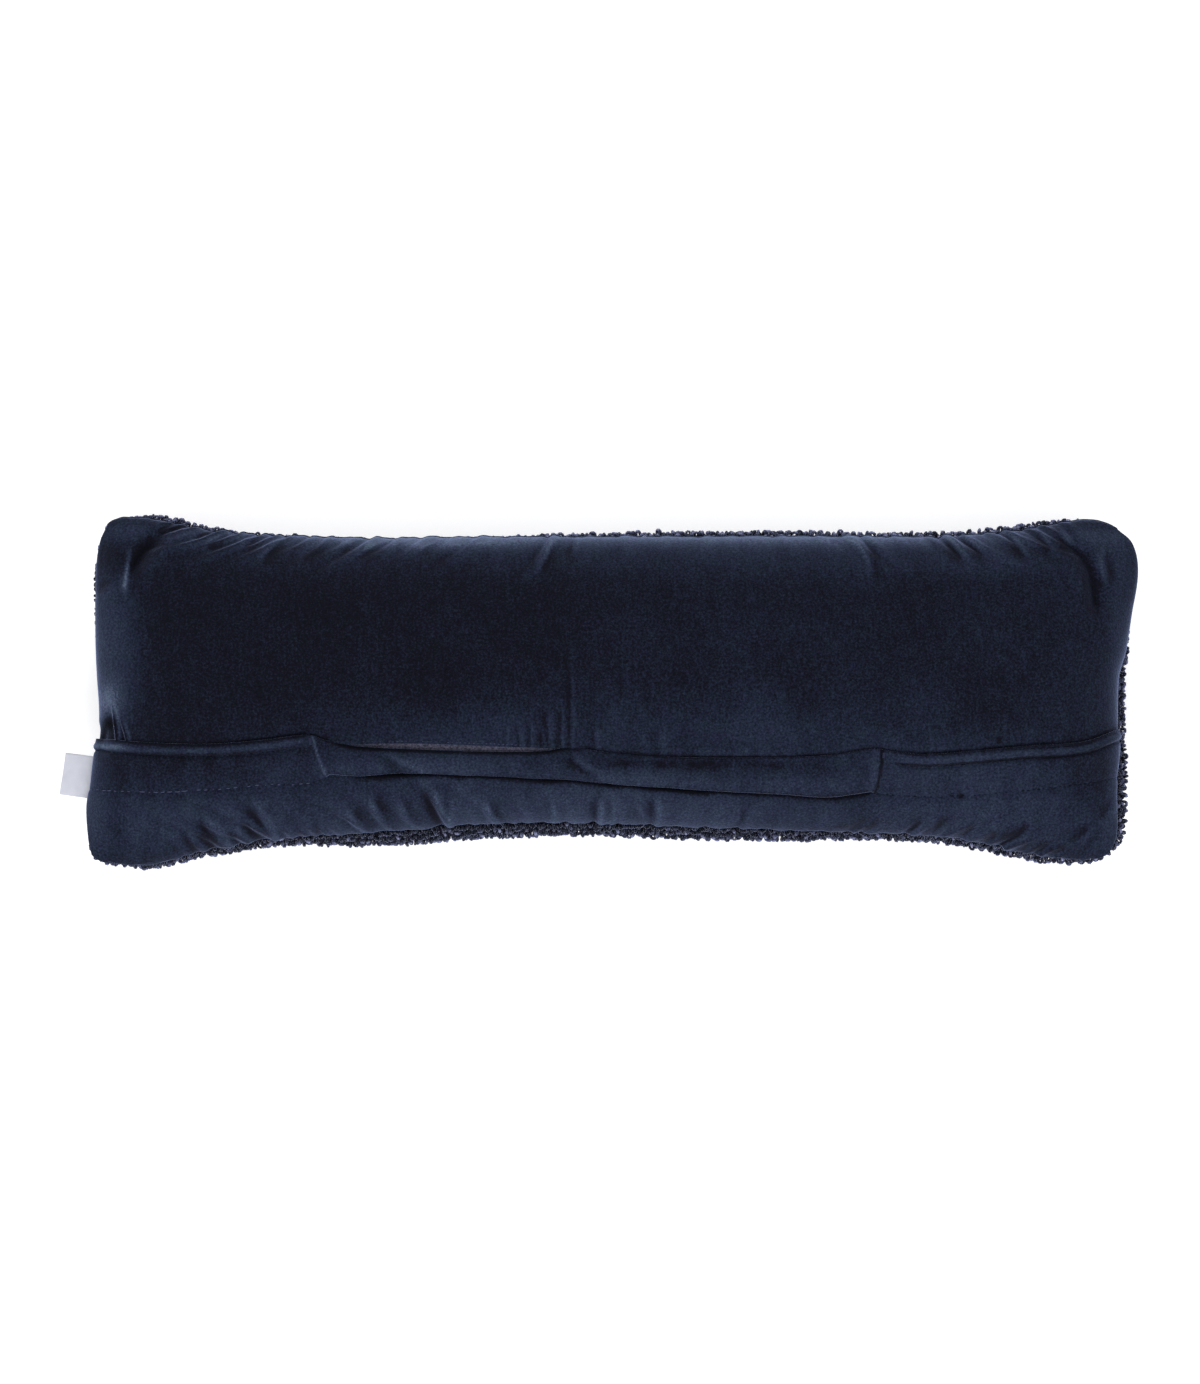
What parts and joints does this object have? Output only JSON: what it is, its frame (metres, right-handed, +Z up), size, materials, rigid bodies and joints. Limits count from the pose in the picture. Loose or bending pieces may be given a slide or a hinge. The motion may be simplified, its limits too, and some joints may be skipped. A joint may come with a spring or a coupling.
{
  "type": "hooked throw pillow",
  "caption": "Long lumbar pillow with a looped hooked front, a velvet back, a lapped zip placket and a bare side label, lying velvet side up.",
  "frame": {"origin": "middle of the flat spot that the hooked front rests on", "axes": "+X along the pillow, with the label at the -X end; +Y towards the long seam away from the zip placket; +Z up, out of the velvet back"},
  "size_m": [0.6248, 0.2074, 0.0831],
  "materials": {
    "looped_yarn": "matt looped wool yarn in mottled slate navy",
    "velvet": "dark navy cotton velvet with a soft sheen on its folds",
    "tape": "woven zip tape in brownish mauve",
    "label_cloth": "white woven satin label, bare"
  },
  "bodies": {
    "root": {"hooked_front": "looped_yarn", "velvet_upper": "velvet", "velvet_lower": "velvet", "zip_tape": "tape", "label": "label_cloth"}
  },
  "joints": []
}
